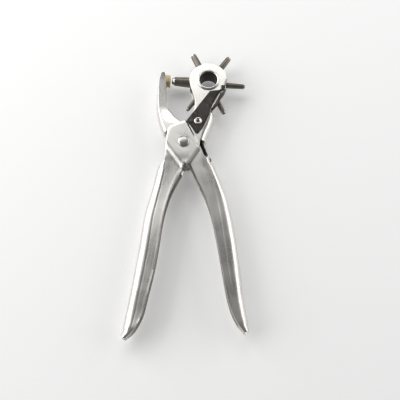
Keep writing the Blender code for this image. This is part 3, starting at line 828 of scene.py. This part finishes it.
def wheel_lever_relief(point, from_left, from_right):
    """The handle's pressed line and lean, and the ring struck round the rivet."""
    line = pressed_line(from_left, from_right, 0.16, 0.12)
    line *= along_handle(point, LEFT_LINE_TOP, LEFT_LINE_END)
    lean = -LEFT_LEAN * from_right * along_handle(point, LEFT_LEAN_TOP, LEFT_LEAN_END)
    radius, reach, depth = STRUCK_RING
    ring = -depth * bell((math.hypot(point.x, point.y) - radius) / reach)
    return line + ring + lean


def anvil_lever_relief(point, from_left, from_right):
    """Dished valley beside the joint that sharpens into the handle's pressed line, and the flats' lean."""
    line = pressed_line(from_right, from_left, 0.14, 0.10)
    line *= along_handle(point, RIGHT_LINE_TOP, RIGHT_LINE_END)
    lean = -RIGHT_LEAN * from_left * along_handle(point, RIGHT_LEAN_TOP, RIGHT_LEAN_END)
    middle, reach, depth = VALLEY
    dish = along_handle(point, VALLEY_TOP, VALLEY_END)
    valley = -depth * bell((from_right - middle) / reach) * dish
    return line + valley + lean + jaw_lean(point, from_left) * beside_pad(point)


def anvil_lever_bend(point, from_left, from_right):
    """The jaw's lean where the jaw is hollow. Beside the pad only its outer face leans."""
    return jaw_lean(point, from_left) * (1 - beside_pad(point))


def jaw_lean(point, from_left):
    return -JAW_LEAN * from_left * eased(point.y, *JAW_LEAN_START)


def beside_pad(point):
    return eased(point.y, *PAD_STRETCH)


def ring_rows():
    """Rows of the head's round end, up to the arc that closes it."""
    rows = []
    for degrees in RING_ROW_ANGLES:
        angle = math.radians(degrees)
        reach = Vector((RING_R * math.cos(angle), RING_R * math.sin(angle)))
        left = (WHEEL.x - reach.x, WHEEL.y + reach.y)
        right = (WHEEL.x + reach.x, WHEEL.y + reach.y)
        rows.append((left, right, 0, 0))
    return tuple(rows)


def ring_cap():
    """The rest of the round end's outline, from the right end of the last row over to its left end."""
    last = RING_ROW_ANGLES[-1]
    points = []
    for degrees in range(last + RING_STEP, 180 - last, RING_STEP):
        angle = math.radians(degrees)
        points.append(Vector((WHEEL.x + RING_R * math.cos(angle), WHEEL.y + RING_R * math.sin(angle))))
    return points


def make_wheel_lever():
    rows = refined_rows(WHEEL_LEVER_ROWS + ring_rows())
    lever = sheet_piece(
        "wheel_lever_pressing", rows, wheel_lever_level, wheel_lever_relief, cap=ring_cap()
    )
    deep = 3 * PLATE_HALF
    up = (0, 0, 1)
    leaf_hole = LEAF_RIVET + Vector((0, 0, CHEEK_HALF))
    drill(
        lever,
        ((0, 0, 0), RIVET_R + 2 * SNUG, deep, up),
        (WHEEL, EYELET_R + 2 * SNUG, deep, up),
        (leaf_hole, LEAF_HOLE_R, CHEEK_DRILL, up),
        (SPRING_PIN, PIN_R + SNUG, deep, up),
        ((0, 0, -PLATE_HALF), RIVET_SINK_R, 2 * RIVET_SINK_DEPTH, up),
    )
    shade(lever)
    dress(lever, "wheel_lever", "satin_nickel", ("wheel_lever",), NICKEL_LEFT)


def make_anvil_lever():
    rows = refined_rows(ANVIL_LEVER_ROWS)
    lever = sheet_piece(
        "anvil_lever_pressing", rows, anvil_lever_level, anvil_lever_relief, anvil_lever_bend
    )
    drill(
        lever,
        ((0, 0, 0), RIVET_R + GAP, 30, (0, 0, 1)),
        (SPRING_HOLE, SPRING_HOLE_R, WALL_DRILL, SPRING_HOLE_AXIS),
        (pad_point(-PAD_HOLE_BACK), PAD_RIVET_R + SNUG, WALL_DRILL, pad_axis()),
    )
    shade(lever)
    dress(lever, "anvil_lever", "satin_nickel", ("anvil_lever",), NICKEL_RIGHT)


# ----------------------------------------------------------------------------
# Pivot and anvil
# ----------------------------------------------------------------------------

def make_pivot_rivet():
    seat = PLATE_HALF + SNUG
    rim = 0.3 * RIVET_HEAD_H
    flush = RIVET_SINK - PLATE_HALF
    profile = []
    for degrees in range(0, 91, 6):
        angle = math.radians(degrees)
        height = seat + rim + (RIVET_HEAD_H - rim) * math.cos(angle)
        profile.append((RIVET_HEAD_R * math.sin(angle), height))
    profile += arc(RIVET_HEAD_R - 0.2, seat + 0.2, 0.2, 0, -90, 4)
    profile += [(RIVET_R, seat), (RIVET_R, flush + 1.0), (4.0, flush + 0.1), (3.7, flush)]
    profile += [(1.2, flush + 0.15), (0, flush + 0.25)]
    rivet = turned("pivot_rivet_domed", profile, (0, 0, 0))
    dress(rivet, "wheel_lever", "bright_nickel", ("pivot_rivet",), NICKEL_RIVET_PAINTED_SHADE)


def make_pivot_bush():
    half = ANVIL_HALF - SHEET - 2 * SNUG
    bore = RIVET_R + SNUG
    edge = 0.3
    profile = arc(BUSH_R - edge, half - edge, edge, 90, 0, 3)
    profile += arc(BUSH_R - edge, edge - half, edge, 0, -90, 3)
    profile += [(bore, -half), (bore, half)]
    bush = turned("pivot_bush_turned", profile, (0, 0, 0), closed=True)
    dress(bush, "wheel_lever", "steel", ("pivot_bush",), STEEL)


def pad_axis():
    angle = math.radians(PAD_TURN)
    return Vector((math.cos(angle), math.sin(angle), 0))


def pad_point(distance):
    return PAD_CENTRE + pad_axis() * distance


def make_anvil_pad():
    """Brass block with eased corners and a shallow hollow, left by wear, where the tubes land."""
    bm = bmesh.new()
    bmesh.ops.create_cube(bm, size=1.0)
    size = Matrix.Diagonal((PAD_DEPTH * MM, PAD_LENGTH * MM, 2 * PAD_HALF * MM, 1.0))
    bmesh.ops.transform(bm, matrix=size, verts=bm.verts)
    bmesh.ops.bevel(
        bm,
        geom=bm.edges[:],
        offset=PAD_EDGE * MM,
        segments=3,
        profile=0.6,
        affect="EDGES",
        clamp_overlap=True,
    )
    face = max(bm.faces, key=lambda f: f.calc_center_median().x)
    for depth in PAD_HOLLOW:
        bmesh.ops.inset_region(bm, faces=[face], thickness=PAD_HOLLOW_STEP * MM)
        for vert in face.verts:
            vert.co.x += depth * MM / 2
    place = Matrix.Translation(world(PAD_CENTRE)) @ Matrix.Rotation(math.radians(PAD_TURN), 4, "Z")
    bmesh.ops.transform(bm, matrix=place, verts=bm.verts)
    pad = shade(link_mesh("anvil_pad_block", bm), 30)
    dress(pad, "anvil_lever", "brass", ("anvil_pad",), BRASS)


def make_anvil_rivet():
    half = PAD_RIVET_HALF
    profile = [(0, half), (PAD_RIVET_R - 0.2, half), (PAD_RIVET_R, half - 0.2)]
    profile += [(PAD_RIVET_R, 0.3 - half), (PAD_RIVET_R - 0.3, -half), (0, -half - 0.1)]
    rivet = turned("anvil_rivet_stub", profile, pad_point(-PAD_RIVET_BACK), pad_axis(), steps=48)
    dress(rivet, "anvil_lever", "steel", ("anvil_rivet",), STEEL)


# ----------------------------------------------------------------------------
# Punch wheel
# ----------------------------------------------------------------------------

def tube_direction(index):
    """Tube 0 is the active one, which faces the anvil; the rest follow clockwise."""
    angle = math.radians(180 + WHEEL_TURN - 60 * index)
    return Vector((math.cos(angle), math.sin(angle), 0))


def make_wheel_eyelet():
    """Hollow axle with a rolled lip on each cheek."""
    lip = (EYELET_LIP_R - EYELET_HOLE_R) / 2
    middle = (EYELET_LIP_R + EYELET_HOLE_R) / 2
    seat = CHEEK_HALF + SNUG
    profile = arc(middle, seat + EYELET_LIP_LIFT, lip, 180, 0, 12)
    profile += [(EYELET_LIP_R, seat), (EYELET_R, seat), (EYELET_R, -seat), (EYELET_LIP_R, -seat)]
    profile += arc(middle, -seat - EYELET_LIP_LIFT, lip, 0, -180, 12)
    # The bore, the stretch that closes the profile, takes the second material, the painted shade.
    slots = {len(profile) - 1: 1}
    eyelet = turned("wheel_eyelet_rolled", profile, WHEEL, closed=True, steps=128, slots=slots)
    dress(eyelet, "wheel_lever", "bright_nickel", ("wheel_eyelet",), NICKEL_BRIGHT, BORE_PAINTED_SHADE)


def make_wheel_hub():
    """Drum with eased rims and a turned groove on each face."""
    inner, outer, depth = HUB_GROOVE
    slope = 0.2
    groove = [(outer, 0), (outer - slope, depth), (inner + slope, depth), (inner, 0)]
    profile = arc(HUB_R - HUB_EDGE, HUB_HALF - HUB_EDGE, HUB_EDGE, 90, 0, 5)
    profile += arc(HUB_R - HUB_EDGE, HUB_EDGE - HUB_HALF, HUB_EDGE, 0, -90, 5)
    profile += [(radius, sunk - HUB_HALF) for radius, sunk in groove]
    profile += [(HUB_BORE_R, -HUB_HALF), (HUB_BORE_R, HUB_HALF)]
    profile += [(radius, HUB_HALF - sunk) for radius, sunk in reversed(groove)]
    hub = turned("wheel_hub_turned", profile, WHEEL, closed=True, steps=128)
    holes = []
    for index, (hole, _, root) in enumerate(TUBE_SIZES):
        direction = tube_direction(index)
        socket = WHEEL + direction * (HUB_R - TUBE_SEAT + HUB_DRILL / 2)
        holes.append((socket, min(root / 2 + 0.06, HUB_HALF - 0.1), HUB_DRILL, direction))
        holes.append((WHEEL + direction * HUB_BORE_R, hole / 2, HUB_DRILL, direction))
    drill(hub, *holes)
    shade(hub, 30)
    dress(hub, "punch_wheel", "black_oxide", ("wheel_hub",), OXIDE_HUB)


def make_punch_tube(index):
    """Hollow cutter with a shoulder at the hub, a tapered body, and a ground edge of bare steel."""
    hole, tip, root = TUBE_SIZES[index]
    bore = hole / 2
    start = HUB_R - TUBE_SEAT
    collar = HUB_R + TUBE_COLLAR
    shoulder = TUBE_TIP - GROUND_LENGTHS[index]
    taper = shoulder - 0.15
    profile = [(bore + CUTTING_EDGE, TUBE_TIP), (tip / 2 - 0.05, shoulder), (tip / 2, taper)]
    body = 5
    for k in range(1, body + 1):
        share = k / body
        radius = tip / 2 + (root / 2 - tip / 2) * share ** 0.9
        profile.append((radius, taper + (collar - taper) * share))
    slim = root / 2 - TUBE_STEP
    profile += [(root / 2, HUB_R + 0.3), (slim, HUB_R + 0.1), (slim, start)]
    profile += [(bore, start), (bore, TUBE_TIP - 1.0)]
    slots = {0: 1, len(profile) - 1: 1}
    direction = tube_direction(index)
    name = f"punch_tube_{index + 1}"
    tube = turned(f"{name}_ground", profile, WHEEL, direction, closed=True, steps=64, slots=slots)
    dress(tube, "punch_wheel", "black_oxide", (name,), OXIDE_TUBE, STEEL)


# ----------------------------------------------------------------------------
# Detent leaf and return spring
# ----------------------------------------------------------------------------

def leaf_relief(point, from_left, from_right):
    """Small dimple beside the rivet, and a groove and a bead where the margin is rolled over."""
    reach, height = LEAF_DIMPLE_SIZE
    dimple = height * bell((Vector((point.x, point.y)) - LEAF_DIMPLE).length / reach)
    middle, reach, height = LEAF_BEAD
    margin = height * bell((from_right - middle) / reach)
    middle, reach, depth = LEAF_GROOVE
    margin -= depth * bell((from_right - middle) / reach)
    return dimple + margin * eased(point.y, *LEAF_BEAD_START)


def leaf_painted_highlight(point, column):
    """Cells of the leaf that get the painted highlight: a light stripe along the bead of its rolled margin
    and an outline round its finger, where light catches them.
    """
    if point.y > LEAF_FINGER_Y:
        return column in (0, 1, FLAT_COLUMNS - 1)
    return FLAT_COLUMNS + 3 <= column <= FLAT_COLUMNS + 4


def make_detent_leaf():
    top = CHEEK_HALF + LEAF_LIFT + LEAF
    rows = refined_rows(LEAF_ROWS, straight=True)
    leaf = sheet_piece(
        "detent_leaf_pressing",
        rows,
        lambda point: top,
        leaf_relief,
        drop=LEAF_DROP,
        mirrored=False,
        thickness=LEAF,
        painted_highlight=leaf_painted_highlight,
    )
    drill(leaf, (LEAF_RIVET + Vector((0, 0, top)), LEAF_HOLE_R, 4, (0, 0, 1)))
    shade(leaf)
    dress(leaf, "wheel_lever", "black_oxide", ("detent_spring",), OXIDE_LEAF, OXIDE_PAINTED_HIGHLIGHT)


def make_detent_rivet():
    """Tubular rivet: rolled head in front, open socket, and a spread tail behind the front cheek."""
    seat = CHEEK_HALF + LEAF_LIFT + LEAF + SNUG
    tail = CHEEK_HALF - SHEET - SNUG
    shank = LEAF_HOLE_R - 2 * SNUG
    middle = LEAF_SOCKET_R + LEAF_RIVET_ROLL
    rolled = seat + 0.15
    profile = arc(middle, rolled, LEAF_RIVET_ROLL, 180, 0, 12)
    profile += [(middle + LEAF_RIVET_ROLL, seat), (shank, seat), (shank, tail)]
    profile += [(shank + 0.7, tail - 0.1), (shank + 0.6, tail - 0.6)]
    profile += [(LEAF_SOCKET_R, tail - 0.7), (LEAF_SOCKET_R, rolled)]
    rivet = turned("detent_rivet_tubular", profile, LEAF_RIVET, closed=True, steps=64)
    dress(rivet, "wheel_lever", "bright_nickel", ("detent_rivet",), NICKEL_BRIGHT)


def make_spring_pin():
    half = CHEEK_HALF - SNUG
    profile = [(0, half), (PIN_R - 0.2, half), (PIN_R, half - 0.2)]
    profile += [(PIN_R, 0.2 - half), (PIN_R - 0.2, -half), (0, -half)]
    pin = turned("spring_pin_turned", profile, SPRING_PIN, steps=48)
    dress(pin, "wheel_lever", "steel", ("spring_pin",), STEEL)


def spring_path():
    """Centre line of the return spring: hook round the pin, coils, hook through the anvil lever's wall."""
    axis = (SPRING_BRIDGE - SPRING_PIN).normalized()
    side = Vector((axis.y, -axis.x, 0))
    up = Vector((0, 0, 1))
    hook_points = 22
    turn_points = 24
    hook_step = (370 - 2 * HOOK_OPENING) / (hook_points - 1)
    points = []
    for k in range(hook_points):
        angle = math.radians(HOOK_OPENING + hook_step * k)
        points.append(SPRING_PIN + (axis * math.cos(angle) - side * math.sin(angle)) * HOOK_R)
    coils = turn_points * COIL_TURNS
    first = SPRING_PIN + axis * (HOOK_R + HOOK_NECK)
    last = SPRING_BRIDGE - axis * (HOOK_R + HOOK_NECK)
    for k in range(coils + 1):
        turn = math.tau * k / turn_points
        around = side * math.cos(turn) + up * math.sin(turn)
        points.append(first.lerp(last, k / coils) + around * COIL_R)
    for k in range(hook_points):
        angle = math.radians(HOOK_OPENING + hook_step * k)
        points.append(SPRING_BRIDGE - (axis * math.cos(angle) - side * math.sin(angle)) * HOOK_R)
    return points


def make_return_spring():
    curve = bpy.data.curves.new("return_spring_coil", "CURVE")
    curve.dimensions = "3D"
    curve.bevel_depth = WIRE_R * MM
    curve.bevel_resolution = 3
    curve.use_fill_caps = True
    points = spring_path()
    wire = curve.splines.new("POLY")
    wire.points.add(len(points) - 1)
    for slot, point in zip(wire.points, points):
        slot.co = (*world(point), 1)
    drawn = bpy.data.objects.new("return_spring_line", curve)
    bpy.context.scene.collection.objects.link(drawn)
    mesh = bpy.data.meshes.new_from_object(drawn.evaluated_get(bpy.context.evaluated_depsgraph_get()))
    bpy.data.objects.remove(drawn, do_unlink=True)
    spring = bpy.data.objects.new("return_spring_coil", mesh)
    bpy.context.scene.collection.objects.link(spring)
    shade(spring, 60)
    spring.data.materials.clear()
    spring.data.materials.append(OXIDE_WIRE)
    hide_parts("return_spring")
    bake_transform(spring)


# ----------------------------------------------------------------------------
# Stage
# ----------------------------------------------------------------------------

def make_floor():
    bm = bmesh.new()
    bmesh.ops.create_grid(bm, x_segments=2, y_segments=2, size=FLOOR_SIZE)
    board = link_mesh("floor_board", bm)
    board.data.materials.append(floor_paint())


def add_softbox(name, towards, distance, width, height, radiance):
    """A rectangular area light in a direction from the tool's middle, facing it, of this brightness."""
    light = bpy.data.lights.new(name, "AREA")
    light.shape = "RECTANGLE"
    light.size = width
    light.size_y = height
    light.energy = radiance * math.pi * width * height
    obj = bpy.data.objects.new(name, light)
    direction = Vector(towards).normalized()
    obj.location = direction * distance
    obj.rotation_euler = direction.to_track_quat("Z", "Y").to_euler()
    bpy.context.scene.collection.objects.link(obj)


def make_lights():
    background = bpy.data.worlds.new("studio")
    background.use_nodes = True
    shader = background.node_tree.nodes["Background"]
    shader.inputs["Color"].default_value = SKY_COLOUR
    shader.inputs["Strength"].default_value = SKY_STRENGTH
    bpy.context.scene.world = background
    bpy.context.scene.view_settings.view_transform = "Standard"
    for softbox in SOFTBOXES:
        add_softbox(*softbox)


def make_camera():
    data = bpy.data.cameras.new("camera")
    data.sensor_fit = "HORIZONTAL"
    data.angle = math.radians(CAMERA_ANGLE)
    camera = bpy.data.objects.new("camera", data)
    eye = (Vector((PIVOT.x, PIVOT.y, 0)) + CAMERA_FROM_PIVOT) * MM
    tilt = Matrix.Rotation(math.radians(CAMERA_TILT), 4, "X")
    turn = tilt @ Matrix.Rotation(math.radians(CAMERA_ROLL), 4, "Z")
    camera.matrix_world = Matrix.Translation(eye) @ turn
    bpy.context.scene.collection.objects.link(camera)
    bpy.context.scene.camera = camera


make_camera()
make_floor()
make_lights()
make_wheel_lever()
make_anvil_lever()
make_pivot_rivet()
make_pivot_bush()
make_anvil_pad()
make_anvil_rivet()
make_wheel_eyelet()
make_wheel_hub()
for tube_index in range(len(TUBE_SIZES)):
    make_punch_tube(tube_index)
make_detent_leaf()
make_detent_rivet()
make_spring_pin()
make_return_spring()
